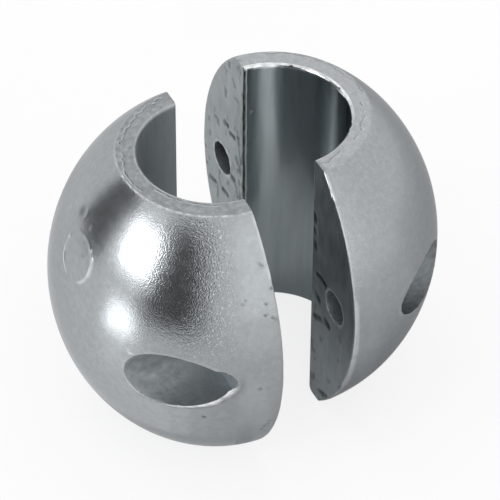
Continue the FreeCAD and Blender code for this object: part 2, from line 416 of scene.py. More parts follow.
def match_oval(loop, oval):
    """Points of a dense oval at the same shares of the way round as the loop's points."""
    middle = oval.mean(0)
    start = loop[0] - middle
    angle = lambda q: np.arctan2(q[..., 1], q[..., 0])
    turn = lambda q: (angle(q) - angle(start)) % (2 * pi)
    way = np.sign(np.median(np.diff(np.unwrap(angle(loop - middle)))))
    if way * np.median(np.diff(np.unwrap(angle(oval - middle)))) < 0:
        oval = oval[::-1]
    first = np.argmin(np.minimum(turn(oval - middle), 2 * pi - turn(oval - middle)))
    oval = np.roll(oval, -first, axis=0)
    share = lengths(oval)
    share = np.append(share, 1.0)
    oval = np.append(oval, oval[:1], axis=0)
    want = lengths(loop)
    return np.stack([np.interp(want, share, oval[:, 0]), np.interp(want, share, oval[:, 1])], 1)


class Casting:
    """One half, built as grids of rows (i) and columns (j) on its outer side and its bore."""

    def __init__(self, half):
        self.shell = Shell()
        self.half = half
        self.brink = np.zeros(0, int)
        # From below: the foot's bevel and collar, the bulge, then the crest
        self.z_out = np.concatenate([[-TOP + 0.088, -TOP + 0.19, -LAND_END], half.rows[1:-1],
                                     [LAND_END, TOP - 0.19, TOP - 0.05]])
        rho = bulge_rho(np.clip(self.z_out, -LAND_END, LAND_END))
        rho[[0, 1, 2, -3]] = COLLAR - np.array([0.6, 0.24, 0, 0])
        rho[-2:] = bulge_rho(self.z_out[-2:]) - (0.02, 0.08)
        self.rho_out = rho
        # From below: the foot's round, the bore, then the lip
        foot_rho = BORE + FOOT_ROUND - FOOT_ROUND * np.sin(FOOT_STEPS)
        foot_z = -TOP + FOOT_ROUND - FOOT_ROUND * np.cos(FOOT_STEPS)
        wall = np.linspace(foot_z[-1], TOP - 0.4, 86)[1:]
        self.rho_in = np.concatenate([foot_rho, np.full(len(wall), BORE), [BORE + 0.4]])
        self.z_in = np.concatenate([foot_z, wall, [TOP]])
        self.in_columns = spaced(0, 1, 0.0062, [(-0.1, 0.012, 0.004), (0.988, 1.1, 0.004)])

    def edge_round(self, z, side):
        """The uneven round of a split face's outer edge, wider where the casting is worn."""
        p = np.stack([np.full_like(z, 30.0 * side), np.zeros_like(z), z], -1)
        fine, slow = noise(p, 1.5, self.half.seed + 3), noise(p, 5.0, self.half.seed + 5)
        radius = self.half.corner_round * (1 + 0.35 * fine + 0.3 * slow)
        for at_side, low, high, extra in self.half.worn:
            if at_side == side:
                rise = extra * smooth(z, low - 1.0, low + 1.0)
                radius += rise * smooth(-z, -high - 1.0, -high + 1.0)
        radius[:3], radius[-3:] = self.half.corner_round * 0.6, 0.42
        return radius

    def sweep(self, rho, z, shares, radii, inner):
        """Points from the +X split edge round to the -X split edge, rows by columns."""
        ends = []
        for radius in radii:
            steps = radius[:, None] * (1 - np.sin(np.radians(ROUND_STEPS[::-1])))
            ends.append(np.arcsin((ALLOWANCE + steps) / rho[:, None]))
        start, stop = (np.arcsin((ALLOWANCE + r + 0.2) / rho)[:, None] for r in radii)
        middle = start + (pi - start - stop) * shares[None]
        angle = np.concatenate([ends[0], middle, pi - ends[1][:, ::-1]], axis=1)
        points = np.stack([rho[:, None] * np.cos(angle), -rho[:, None] * np.sin(angle),
                           np.broadcast_to(z[:, None], angle.shape)], -1)
        depth = -ALLOWANCE - points[..., 1]
        first_side = np.arange(angle.shape[1]) < angle.shape[1] // 2
        sink = rounding(depth, np.where(first_side, radii[0][:, None], radii[1][:, None]))
        out = np.stack([rho + BULGE_CENTRE, z], -1) / BULGE_RADIUS
        out[np.abs(z) >= LAND_END] = (1, 0)
        if inner:
            out[:] = (-1, 0)
        points[..., 0] -= sink * out[:, :1] * np.cos(angle)
        points[..., 1] += sink * out[:, :1] * np.sin(angle)
        points[..., 2] -= sink * out[:, 1:]
        return points

    def build_walls(self):
        s = self.shell
        self.out_radii = {side: self.edge_round(self.z_out, side) for side in (1, -1)}
        out = self.sweep(self.rho_out, self.z_out, self.half.columns,
                         (self.out_radii[1], self.out_radii[-1]), False)
        self.out = s.add(out).reshape(out.shape[:2])
        self.in_radius = np.full_like(self.z_in, SMALL_ROUND)
        inside = self.sweep(self.rho_in, self.z_in, self.in_columns,
                            (self.in_radius, self.in_radius), True)
        # The foot's round is large at the split and small in between
        rows, steps = len(FOOT_STEPS), FOOT_STEPS[:, None]
        turn = np.degrees(np.arctan2(-inside[:rows, :, 1], inside[:rows, :, 0]))
        less = -0.6 - 1.15 * smooth(turn, 6, 30) * smooth(-turn, -174, -150)
        wider = 1 + less * (1 - np.sin(steps)) / self.rho_in[:rows, None]
        inside[:rows, :, :2] *= wider[..., None]
        inside[:rows, :, 2] += less * (1 - np.cos(steps))
        self.inside = s.add(inside).reshape(inside.shape[:2])

    def build_caps(self):
        """Both split faces as upright lines from the bulge to the bore."""
        s = self.shell
        self.caps = {}
        x_out = np.sqrt(self.rho_out ** 2 - ALLOWANCE ** 2)
        x_in = np.sqrt(self.rho_in ** 2 - ALLOWANCE ** 2)
        normal = np.stack([self.rho_out + BULGE_CENTRE, self.z_out], -1) / BULGE_RADIUS
        normal[[0, 1, 2, -3, -2, -1]] = (1, 0)
        count = int(round(20.5 / self.half.line_step))
        shares = ((np.arange(count) + 0.7) / (count + 0.4))[None, :, None]
        pick = np.linspace(0, 1, CAP_ROWS)
        for side, column in ((1, 0), (-1, -1)):
            lines, inner_lines = [self.out[:, column]], [self.inside[:, column]]
            for share in ROUND_SHARES:
                r = share * self.out_radii[side]
                outer = np.stack([x_out - r * normal[:, 0], self.z_out - r * normal[:, 1]], -1)
                outer[[0, -1], 1] = (-TOP, TOP)
                sunk = rounding(r, self.out_radii[side])
                lines.append(s.add_at(outer * (side, 1), -ALLOWANCE - sunk))
            for share in ROUND_SHARES:
                r = share * self.in_radius
                inner = np.stack([x_in + r, self.z_in], -1)
                sunk = rounding(r, self.in_radius)
                inner_lines.append(s.add_at(inner * (side, 1), -ALLOWANCE - sunk))
            inner_lines = inner_lines[::-1]
            outer_way, inner_way = lengths(outer, False), lengths(inner, False)
            a = np.stack([np.interp(pick, outer_way, outer[:, c]) for c in (0, 1)], -1)
            b = np.stack([np.interp(pick, inner_way, inner[:, c]) for c in (0, 1)], -1)
            b[:, 1] = np.clip(b[:, 1], -TOP, TOP)
            flat = a[:, None] * (1 - shares) + b[:, None] * shares
            flat[0, :, 1], flat[-1, :, 1] = -TOP, TOP
            grid = s.add_at(flat * (side, 1), -ALLOWANCE).reshape(flat.shape[:2])
            for group, kind in ((lines, "cast"), (inner_lines, "bore")):
                for p, q in zip(group, group[1:]):
                    s.quads(np.stack([p, q], 1), kind)
            s.bridge(lines[-1], grid[:, 0], "face", outer_way, pick)
            s.bridge(grid[:, -1], inner_lines[0], "face", pick, inner_way)
            self.caps[side] = (grid, flat, lines, inner_lines)

    def build_rings(self):
        """The flat end rings, as loops whose ends are the ends of the split faces' lines."""
        s = self.shell
        shares = (self.in_columns + 0.02) / 1.04
        for row, z in ((0, -TOP), (-1, TOP)):
            ends = {}
            for side in (1, -1):
                grid, _, lines, inner_lines = self.caps[side]
                ends[side] = [line[row] for line in lines[1:]] + list(grid[row])
                ends[side] += [line[row] for line in inner_lines[:-1]]
            radii = np.hypot(s.all_points()[ends[1], 0], ALLOWANCE)
            loops = []
            for first, last, radius in zip(ends[1], ends[-1], radii):
                start = np.arcsin(ALLOWANCE / radius)
                angle = start + (pi - 2 * start) * shares
                arc = [radius * np.cos(angle), -radius * np.sin(angle), np.full_like(angle, z)]
                loops.append(np.concatenate([[first], s.add(np.stack(arc, -1)), [last]]))
            points = s.all_points()

            def share(loop):
                turn = np.arctan2(-points[loop, 1], points[loop, 0])
                return (turn - turn[0]) / (turn[-1] - turn[0])

            out, inside = self.out[row], self.inside[row]
            s.bridge(out, loops[0], "cast", share(out), share(loops[0]))
            for a, b in zip(loops, loops[1:]):
                s.quads(np.stack([a, b], 1), "cast")
            s.bridge(loops[-1], inside, "bore", share(loops[-1]), share(inside))

    def cut_mouth(self, side, mouth):
        """Cuts a round mouth in a split face: its loop, and the way outward at each point."""
        s = self.shell
        grid, flat, _, _ = self.caps[side]
        reach = mouth + 1.7
        x, z = flat[flat.shape[0] // 2, :, 0], flat[:, 0, 1]
        window = (np.argmax(z > -reach) - 1, np.argmax(z > reach),
                  np.argmax(x < BOLT_OFFSET + reach) - 1, np.argmax(x < BOLT_OFFSET - reach))
        s.quads(grid, "face", [window])
        loop = border(grid, window)
        flat_loop = s.all_points()[loop][:, [0, 2]]
        turn = np.linspace(0, 2 * pi, 721)[:-1]
        oval = np.stack([side * BOLT_OFFSET + mouth * np.cos(turn), mouth * np.sin(turn)], -1)
        rim = match_oval(flat_loop, oval)
        outward = (rim - [side * BOLT_OFFSET, 0]) / mouth
        loops = [loop]
        for share in np.linspace(0, 1, 5)[1:-1]:
            p = flat_loop * (1 - share) + (rim + outward * SMALL_ROUND) * share
            loops.append(s.add_at(p, -ALLOWANCE))
        for step in np.radians(ROUND_STEPS):
            p = rim + outward * SMALL_ROUND * (1 - np.sin(step))
            loops.append(s.add_at(p, -ALLOWANCE - SMALL_ROUND * (1 - np.cos(step))))
        s.rings(loops, "face")
        return loops[-1], outward

    def drill(self, side, mouth, outward, depth):
        """A bolt hole's wall from its mouth down to this distance from the shaft axis."""
        p = np.array([side * BOLT_OFFSET, 0]) + outward * BOLT_RADIUS
        places = np.append(ALLOWANCE + SMALL_ROUND, np.linspace(ALLOWANCE + 0.9, depth, 12))
        loops = [mouth] + [self.shell.add_at(p, -y) for y in places]
        self.shell.rings(loops, "pocket")
        return loops[-1]

    def tap(self, side, mouth, outward):
        """A countersink, a wall with a real thread and a drill point."""
        s = self.shell
        middle = np.array([side * BOLT_OFFSET, 0])
        turn = np.arctan2(outward[:, 1], outward[:, 0]) / (2 * pi)
        depth = TAP_DEPTH + ALLOWANCE
        loops = [mouth]
        for y in np.arange(ALLOWANCE + 1.0, depth, TAP_PITCH / 5):
            wave = np.abs(((y / TAP_PITCH + turn) % 1.0) * 2 - 1)
            fade = min(1, (depth - y) / 2.0)
            radius = TAP_CORE + 0.6 * np.clip(1.25 * wave - 0.2, 0, 1) * fade
            loops.append(s.add_at(middle + outward * radius[:, None], -y))
        tip = depth + TAP_CORE / tan(radians(TAP_POINT / 2))
        for share in (0.0, 0.5, 0.9):
            p = middle + outward * TAP_CORE * (1 - share)
            loops.append(s.add_at(p, -(depth + (tip - depth) * share)))
        s.rings(loops, "bore")
        point = s.add([[side * BOLT_OFFSET, -tip, 0]])[0]
        for a, b in zip(loops[-1], np.roll(loops[-1], -1)):
            s.face((a, b, point), "bore")

    def pocket(self, side, radius, seat, hole_loop):
        """Cuts a round pocket in the bulge, with its wall and a chip at its low end."""
        s = self.shell
        points = s.all_points()

        def on_bulge(x, z):
            return -np.sqrt(bulge_rho(z) ** 2 - x ** 2)

        def reach_at(way):
            chip = self.half.chip * smooth(way, radians(-14), radians(2))
            return radius + chip * smooth(-way, radians(-40), radians(-30))

        def unrolled(x, y, z):
            return np.stack([np.arctan2(-y, side * x) * EQUATOR, z], -1)

        def rolled(flat):
            a, z = flat[:, 0] / EQUATOR, flat[:, 1]
            rho = bulge_rho(z)
            return np.stack([side * rho * np.cos(a), -rho * np.sin(a), z], -1)

        turn = np.linspace(0, 2 * pi, 1441)[:-1]
        wide = reach_at((turn + pi) % (2 * pi) - pi)
        x, z = BOLT_OFFSET + wide * np.cos(turn), wide * np.sin(turn)
        angle = np.arctan2(-on_bulge(x, z), x)
        reach = 2.6
        row = points[self.out[len(self.z_out) // 2]]
        column_angle = np.arctan2(-row[:, 1], side * row[:, 0])
        first, last = angle.min() - reach / EQUATOR, angle.max() + reach / EQUATOR
        j0, j1 = np.flatnonzero((column_angle > first) & (column_angle < last))[[0, -1]]
        i0, i1 = np.flatnonzero(np.abs(self.z_out) < radius + reach)[[0, -1]]
        window = (i0, i1, j0, j1)
        loop = border(self.out, window)
        flat_loop = unrolled(*points[loop].T)
        rim = rolled(match_oval(flat_loop, np.stack([angle * EQUATOR, z], -1)))
        across = np.stack([side * rim[:, 0] - BOLT_OFFSET, rim[:, 2]], -1)
        across /= np.linalg.norm(across, axis=1)[:, None]
        wide = reach_at(np.arctan2(across[:, 1], across[:, 0]))
        rim[:, 0] = side * (BOLT_OFFSET + wide * across[:, 0])
        rim[:, 2] = wide * across[:, 1]
        rim[:, 1] = on_bulge(rim[:, 0], rim[:, 2])

        # The rim's uneven round
        edges = self.half.pocket_edge * (1 + 0.5 * noise(rim, 2.0, self.half.seed + 11))
        flat_rim = unrolled(*rim.T)
        outward = flat_rim - flat_rim.mean(0)
        outward /= np.linalg.norm(outward, axis=1)[:, None]
        loops = [loop]
        for share in np.linspace(0, 1, 7)[1:-1]:
            edge = flat_rim + outward * edges[:, None]
            loops.append(s.add(rolled(flat_loop * (1 - share) + edge * share)))
        for step in np.radians(ROUND_STEPS):
            q = rolled(flat_rim + outward * (edges * (1 - np.sin(step)))[:, None])
            q[:, 1] += edges * (1 - np.cos(step)) * np.abs(q[:, 1]) / bulge_rho(q[:, 2])
            loops.append(s.add(q))
        s.rings(loops, "cast")

        # The wall, with the chip near its upper end
        y = s.all_points()[loops[-1], 1]
        x, z = side * (BOLT_OFFSET + radius * across[:, 0]), radius * across[:, 1]
        walls = [loops[-1]]
        shares = np.append(0.02, np.linspace(0.05, 1, 19))
        for share in shares:
            depth = np.minimum(y * (1 - share) - seat * share, -seat)
            if share == shares[0]:
                depth = np.minimum(y + 0.3 * edges, -seat - 0.1)
            sunk = (wide - radius) * max(0, 1 - share / shares[5])
            q = np.stack([x + side * across[:, 0] * sunk, depth, z + across[:, 1] * sunk], -1)
            walls.append(s.add(q))
        s.rings(walls, "pocket")
        self.brink = np.concatenate([wall[wide - radius > 0.12] for wall in walls[5:8]])
        self.pocket_seat(side, radius, seat, hole_loop, walls[-1], across)
        return window

    def pocket_seat(self, side, radius, seat, hole_loop, wall_loop, across):
        """The flat seat from a pocket's wall to the bolt hole."""
        s = self.shell
        hole = s.all_points()[hole_loop]
        turn_hole = np.arctan2(hole[:, 2], side * hole[:, 0] - BOLT_OFFSET)
        order = np.argsort(turn_hole)
        turn_hole = turn_hole[order]
        turn_wall = np.arctan2(across[:, 1], across[:, 0])
        outer = wall_loop[np.argsort(turn_wall)]
        loops = [hole_loop[order]]
        for share in (0.33, 0.66):
            r = BOLT_RADIUS + (radius - BOLT_RADIUS) * share
            q = np.stack([side * (BOLT_OFFSET + r * np.cos(turn_hole)), r * np.sin(turn_hole)], -1)
            loops.append(s.add_at(q, -seat))
        s.rings(loops, "pocket")
        s.bridge(np.append(outer, outer[0]), np.append(loops[-1], loops[-1][0]), "pocket",
                 np.append(np.sort(turn_wall), turn_wall.min() + 2 * pi),
                 np.append(turn_hole, turn_hole[0] + 2 * pi))

    def build(self):
        """The walls, split faces and end rings, with the pockets, bolt holes and tapped hole."""
        self.build_walls()
        self.build_caps()
        self.build_rings()
        windows = []
        for side, radius, seat in self.half.pockets:
            mouth, outward = self.cut_mouth(side, BOLT_RADIUS)
            hole = self.drill(side, mouth, outward, seat)
            windows.append(self.pocket(side, radius, seat, hole))
        self.shell.quads(self.out, "cast", windows)
        for side in self.half.tapped:
            mouth, outward = self.cut_mouth(side, TAP_MOUTH)
            self.tap(side, mouth, outward)
        self.shell.quads(self.inside, "bore")


def zinc_material(name, colour, roughness, grain_size, grain_depth, stretch=(1, 1, 1)):
    """Zinc with a mottled colour, an uneven gloss and a fine grain. Sizes are in millimetres."""
    material, shader, _ = new_material(name)
    plain = add_node(material, "TexCoord", {}).outputs["Object"]
    stretched = add_node(material, "Mapping", {"Vector": plain, "Scale": stretch}).outputs[0]

    def texture(size, detail, where=stretched):
        inputs = {"Vector": where, "Scale": 1000 / size, "Detail": detail, "Roughness": 0.6}
        return add_node(material, "TexNoise", inputs).outputs[0]

    def attribute(label):
        return add_node(material, "Attribute", {}, attribute_name=label).outputs["Fac"]

    def spread(value, low, high, start=0.3, stop=0.7):
        inputs = {"Value": value, "From Min": start, "From Max": stop,
                  "To Min": low, "To Max": high}
        return add_node(material, "MapRange", inputs).outputs[0]

    def mix(share, first, second):
        inputs = {0: share, 6: first, 7: second}
        return add_node(material, "Mix", inputs, data_type="RGBA").outputs[2]

    def math(operation, first, second, clamp=False):
        inputs = {0: first, 1: second}
        return add_node(material, "Math", inputs, operation=operation, use_clamp=clamp).outputs[0]

    stain, shine, grain = attribute("stain"), attribute("shine"), attribute("grain")
    dim = (*(c * 0.93 for c in colour), 1)
    bright = (*(min(c * 1.07, 1) for c in colour), 1)
    base = mix(spread(texture(1.4, 4), 0.0, 1.0), dim, bright)
    # Painted glints: specks of near-white metal where the grain is coarsest
    flecks = spread(texture(0.5, 2, plain), 0.0, 1.0, 0.58, 0.66)
    fleck_share = math("MULTIPLY", math("SUBTRACT", grain, 1.1), 0.3, clamp=True)
    base = mix(math("MULTIPLY", flecks, fleck_share), base, (0.85, 0.87, 0.88, 1))
    # Mixed in darker: real marks, and painted shade in grooves, pockets and on the split faces
    base = mix(stain, base, (0.035, 0.045, 0.047, 1))
    # Shine makes the metal near-white and glossier: worn metal, and painted highlights on edges,
    # burrs, lips and beads
    base = mix(math("MULTIPLY", shine, 1.0, clamp=True), base, (0.93, 0.94, 0.95, 1))
    gloss = spread(texture(2.2, 3), *roughness)
    gloss = math("ADD", gloss, math("MULTIPLY", stain, 0.15))
    gloss = math("SUBTRACT", gloss, math("MULTIPLY", shine, 0.06))
    coarser = math("MULTIPLY", texture(grain_size * 2.4, 1, plain), 0.3)
    height = math("ADD", texture(grain_size, 1), coarser)
    bump = add_node(material, "Bump", {"Strength": grain, "Distance": grain_depth / 1000,
                                       "Height": height})
    feed(shader, {"Metallic": 1.0, "Specular Tint": (0.68, 0.69, 0.70, 1), "Base Color": base,
                  "Roughness": gloss, "Normal": bump.outputs[0]})
    return material


# How high the round mark's bead stands, by the angle round it in degrees; the same strength sets
# its painted highlight
BEAD = ((-180, 1.0), (-165, 1.0), (-142, 0.9), (-122, 0.25), (-85, 0.12), (-66, 0.5), (-48, 1.0),
        (-18, 1.0), (-4, 0.4), (20, 0.6), (60, 0.5), (76, 0.1), (118, 0.1), (130, 0.75),
        (140, 0.3), (150, 0.95), (180, 1.0))


def near_line(x, z, ends):
    """Distance from a short line given by its two ends."""
    ax, az, bx, bz = ends
    dx, dz = bx - ax, bz - az
    t = np.clip(((x - ax) * dx + (z - az) * dz) / (dx * dx + dz * dz + 1e-9), 0, 1)
    return np.hypot(x - ax - t * dx, z - az - t * dz)


def bell(distance, width):
    return np.exp(-(distance / width) ** 2)


def weather(p, kind_of, half, brink):
    """Outward movement in millimetres, and the amounts of stain, shine and grain. The stain is
    partly real marks and partly painted shade in grooves, pockets and on the split faces; the shine
    is partly worn metal and partly painted highlights on edges, burrs, lips and beads.
    """
    x, y, z = p.T
    rho, turn = np.hypot(x, y), np.degrees(np.arctan2(-y, x))
    cast, bore, face, pocket = (kind_of[kind] for kind in ("cast", "bore", "face", "pocket"))
    move, stain, shine, grain = (np.zeros(len(p)) for _ in range(4))
    end = np.abs(z) > TOP - 0.01
    skin = cast & ~end
    flat = cast & end & (z > 0)
    edge = np.clip(-ALLOWANCE - y, 0, 9)
    seed = half.seed * 10

    def wave(size, number, stretch=1):
        return noise(p * stretch, size, seed + number)

    def darken(amount, where=slice(None)):
        stain[where] = np.maximum(stain, amount)[where]

    def brighten(amount, where=slice(None)):
        shine[where] = np.maximum(shine, amount)[where]

    # Cast skin: slow waves and a pebbled grain that is coarser on one side
    grain[:] = 0.4
    # Where the grain is coarse, the zinc also paints glints into its colour
    band = smooth(turn, 13, 23) * smooth(z, 0, 14)
    band = band * (0.45 * smooth(-turn, -62, -46) + 0.55 * smooth(-turn, -41, -33))
    grain[skin] += (half.coarse[0] + half.coarse[1] * band)[skin]
    grain[end] = 1.0
    grain[cast & (z > TOP - 0.7)] = 1.6
    grain[pocket] = 1.2
    move[skin] += (0.035 * wave(15, 1) + 0.004 * wave(4.0, 2))[skin]
    move[skin] += (grain * 0.0015 * wave(1.15, 3))[skin]
    move[flat] += (0.03 * wave(2.5, 4) + 0.012 * wave(0.8, 5))[flat]

    # Wandering cracks on the top ring, each with a bright lip
    around = np.stack([turn, turn * 0, turn * 0], -1)
    for number, (at, swing, depth, first, last) in enumerate(half.ring_cracks):
        line = at + swing * noise(around, 11.0, seed + 6 + number)
        line += 0.4 * noise(around, 3.1, seed + 9 + number)
        line += 0.25 * noise(around, 1.5, seed + 45 + number)
        broken = smooth(noise(around + (0, 9, 0), 3.4, seed + 12 + number), -0.75, -0.25)
        broken *= np.clip(0.9 + 0.6 * wave(0.7, 48), 0, 1.2)
        broken *= (turn > first) * (turn < last)
        cut = flat * broken * bell(rho - line, 0.2)
        move -= depth * cut
        darken(half.crack_stain * cut)
        lip = flat * broken * bell(rho - line - 0.3, 0.16)
        move += 0.05 * lip
        brighten(0.35 * lip)

    # The broken crest round the ring, raised a little and brightened as a painted highlight, most
    # on one side
    crest = cast & (z > TOP - 0.55)
    uneven = np.clip(0.4 + 0.7 * wave(0.9, 15) + 0.5 * wave(0.45, 14), 0, 1)
    ridge = crest * bell(rho - COLLAR + 0.36, 0.2) * uneven
    move += 0.06 * ridge
    brighten(half.crest * ridge * (0.25 + 0.75 * smooth(-turn, -115, -85)))

    # Speckle of the end ring
    speckle = rough(p, 0.95, seed + 41, 2) * half.speckle
    darken(half.ring_stain + 0.2 * np.clip(speckle, 0, 1), flat)
    brighten(half.ring_shine + 0.13 * np.clip(-speckle, 0, 1), flat)

    # The machined bore: faint drawn lines, its top lip brightened as a painted highlight, and a
    # groove along its split edge darkened as painted shadow, with painted highlights along the
    # split edges
    move[bore] += 0.006 * wave(1.2, 20, (1, 1, 0.12))[bore]
    lip = (bore | cast) & (z > TOP - 0.45) & (rho < BORE + 0.75)
    lip_amount = lip * (0.55 + 0.45 * wave(0.9, 21)) * half.lip * (1 - 0.75 * smooth(turn, 92, 128))
    move += 0.07 * lip_amount
    brighten(1.2 * lip_amount)
    near_edge = bore & (rho < BORE + 0.3) & (x > 0)
    wander = 0.14 * wave(1.4, 22) + 0.1 * wave(4.0, 23)
    groove = near_edge * smooth(-edge - wander, -0.6, -0.42) * half.edge_groove
    move -= 0.16 * groove
    # Painted shadow in the groove
    darken(groove * np.clip(0.85 + 0.4 * wave(1.6, 24), 0, 0.97))
    # A painted highlight beside the groove
    lit = near_edge * bell(edge - 0.8 + 0.6 * wander, 0.14) * half.edge_groove
    brighten(lit * np.clip(0.22 + 0.35 * wave(1.2, 46), 0, 1))
    thin = bore * (x < 0) * bell(edge, 0.3) * smooth(z, -8, 16) * half.edge_groove
    brighten(0.4 * thin * np.clip(0.6 + 0.6 * wave(1.5, 51), 0, 1))

    # Split faces: smeared, with short dark tears
    move[face] += (0.012 * wave(2.2, 25, (1, 1, 0.35)) + 0.008 * wave(1.0, 26))[face]
    for *ends, half_width, darkness in half.tears:
        d = near_line(x, z, ends) + 0.18 * wave(0.9, 27) + 0.14 * wave(0.5, 42)
        tear = face * (1 - smooth(d, 0.7 * half_width, 1.6 * half_width))
        tear *= np.clip(0.95 + 0.5 * wave(1.1, 43), 0, 1)
        move -= 0.2 * tear
        darken(darkness * tear)
    # Painted shade on one split face, darker towards the top, with streaks in it
    for side, amount in half.patina:
        patch = face * (x * side > 0) * smooth(z, -24, 8)
        darken(amount * patch)
        streak = rough(p * (1, 1, 0.4), 2.2, seed + 28, 3)
        stain[:] = np.where(patch > 0, np.clip(stain + 0.13 * streak * patch, 0, 1), stain)
    specks = rough(p * (1, 1, 0.6), 1.5, seed + 29, 2) + 0.25 * smooth(-rho, -22.5, -20)
    darken(0.45 * face * smooth(specks, 0.5, 0.9))

    # Burrs along the split edge, raised and brightened as painted highlights, and worn bands that
    # are brightened
    for side, low, high, height, width, gleam in half.burrs:
        line = skin * (x * side > 0) * smooth(z, low, low + 1)
        line = line * smooth(-z, -high - 0.5, -high + 0.5)
        amount = line * bell(edge, width) * (0.65 + 0.35 * wave(0.8, 30))
        move += height * amount
        brighten(gleam * amount)
    for side, low, high, width, gleam in half.bands:
        band = skin * (x * side > 0) * smooth(z, low - 0.8, low + 0.8)
        inside = 1 - smooth(edge + 0.12 * wave(1.3, 47), width - 0.15, width + 0.15)
        band = band * smooth(-z, -high - 3, -high) * inside
        move += 0.05 * band * smooth(edge, 0.1, 0.7)
        brighten(gleam * band)

    # The pockets: a burr brightened as a painted highlight, with a groove outside it darkened as
    # painted shadow, painted shade inside, and the broken metal of the chip with a painted
    # highlight on its edge
    for side, radius, seat in half.pockets:
        off = np.hypot(x * side - BOLT_OFFSET, z) - radius
        way = np.degrees(np.arctan2(z, x * side - BOLT_OFFSET))
        low_side = smooth(-way, -25, 5) * smooth(way, -175, -120)
        rim = skin * bell(off - 0.23, 0.29) * (y < -seat)
        uneven = 0.75 + 0.45 * wave(1.1, 31) + 0.5 * wave(0.55, 32)
        amount = half.rim * (rim * np.clip(uneven, 0, 1) * (0.12 + 0.88 * low_side))
        groove = half.rim * skin * bell(off - 0.85, 0.22) * low_side * np.clip(0.3 + uneven, 0, 1)
        move += 0.22 * amount - 0.1 * groove
        darken(0.3 * groove)
        brighten(1.2 * amount * (0.35 + 0.65 * smooth(way, -110, -50)))
        facet = pocket * smooth(off, 0.0, 0.05)
        move += 0.1 * facet * wave(0.7, 50)
        darken(0.62 * facet * np.clip(0.75 + 0.6 * wave(0.8, 52), 0, 1))
    # Painted highlight on the chip's edge
    shine[brink] = np.clip(0.9 + 0.5 * wave(0.9, 49), 0, 1)[brink]
    move[brink] += 0.1
    move[pocket] += 0.035 * half.rim * rough(p[pocket], 1.5, seed + 33, 2)
    # Painted shade inside the pocket, partly growing with depth
    shade = half.pocket_stain[0] + half.pocket_stain[1] * smooth(-y, 12, 25)
    blotches = 0.2 * wave(2.0, 38) + 0.25 * rough(p, 1.0, seed + 44, 2)
    darken(shade * (0.93 + half.blotches * blotches), pocket)
    bare = bore * smooth(turn, 112, 124) * smooth(-turn, -158, -140) * smooth(z, -10, 6)
    blotches = np.clip(0.45 + 0.5 * rough(p * (1, 1, 0.5), 1.4, seed + 40, 2), 0, 1)
    darken(bare * half.bore_stain * blotches)
    for side, _, _ in half.pockets:
        off = np.hypot(x - side * BOLT_OFFSET, z) - BOLT_RADIUS
        ring = face * bell(off - 0.1, 0.3) * (0.6 + 0.4 * wave(1.2, 34))
        move += 0.05 * ring
        brighten(0.5 * ring)

    # A round mark of the mould, then dents, pits and pimples
    for at, radius, height, width in half.round_marks:
        d = np.linalg.norm(p - at, axis=1)
        around = np.degrees(np.arctan2(z - at[2], at[0] - x))
        strength = np.interp(around, *zip(*BEAD))
        dotted = smooth(around, 0, 12) * smooth(-around, -78, -62)
        dots = np.clip(0.6 + 1.6 * wave(0.8, 36), 0, 2)
        strength = strength * (1 - dotted + dotted * dots) * (0.85 + 0.35 * wave(1.3, 35))
        bead = skin * bell(d - radius + 0.15 * wave(1.8, 37), width)
        move += height * bead * strength
        move -= 0.04 * skin * smooth(-d, -radius, -radius + 0.8)
        # Painted highlight along the bead
        brighten(0.9 * bead * np.clip(strength - 0.15, 0, 1))
    for at, radius, height, tone in half.marks:
        d = np.linalg.norm(p - at, axis=1)
        bump = (skin | bore) * bell(d, radius)
        move += height * bump + 0.35 * abs(height) * skin * bell(d - 1.5 * radius, 0.5 * radius)
        # Pits are darkened; pimples are brightened as painted highlights
        (darken if height < 0 else brighten)(tone * bump)
    return move, stain, shine, grain


def build_object(name, half, place, materials):
    """A half's mesh in metres, with its surface weathered."""
    casting = Casting(half)
    casting.build()
    shell = casting.shell
    points = shell.all_points()
    mesh = bpy.data.meshes.new(name)
    mesh.from_pydata((points / 1000).tolist(), [], shell.faces)
    kinds = list(materials)
    for kind in kinds:
        mesh.materials.append(materials[kind])
    mesh.polygons.foreach_set("material_index", [kinds.index(k) for k in shell.kinds])
    sculpt = bmesh.new()
    sculpt.from_mesh(mesh)
    bmesh.ops.recalc_face_normals(sculpt, faces=sculpt.faces)
    open_edges = sum(not e.is_manifold for e in sculpt.edges)
    if open_edges:
        raise ValueError(f"{name} has {open_edges} open edges")
    kind_of = {kind: np.zeros(len(points), bool) for kind in kinds}
    for face in sculpt.faces:
        for vert in face.verts:
            kind_of[kinds[face.material_index]][vert.index] = True
    normals = np.array([v.normal for v in sculpt.verts])
    sculpt.to_mesh(mesh)
    sculpt.free()
    move, stain, shine, grain = weather(points, kind_of, half, casting.brink)
    moved = points + normals * move[:, None]
    moved[:, 2] = np.clip(moved[:, 2], -TOP, TOP + 0.1)
    world = moved @ np.array(place.to_3x3()).T + np.array(place.translation)
    mesh.vertices.foreach_set("co", (world / 1000).ravel())
    for label, values in (("stain", stain), ("shine", shine), ("grain", grain)):
        layer = mesh.attributes.new(label, "FLOAT", "POINT")
        layer.data.foreach_set("value", values)
    mesh.shade_smooth()
    mesh.set_sharp_from_angle(angle=radians(50))
    mesh.update()
    obj = bpy.data.objects.new(name, mesh)
    bpy.context.scene.collection.objects.link(obj)
    return obj
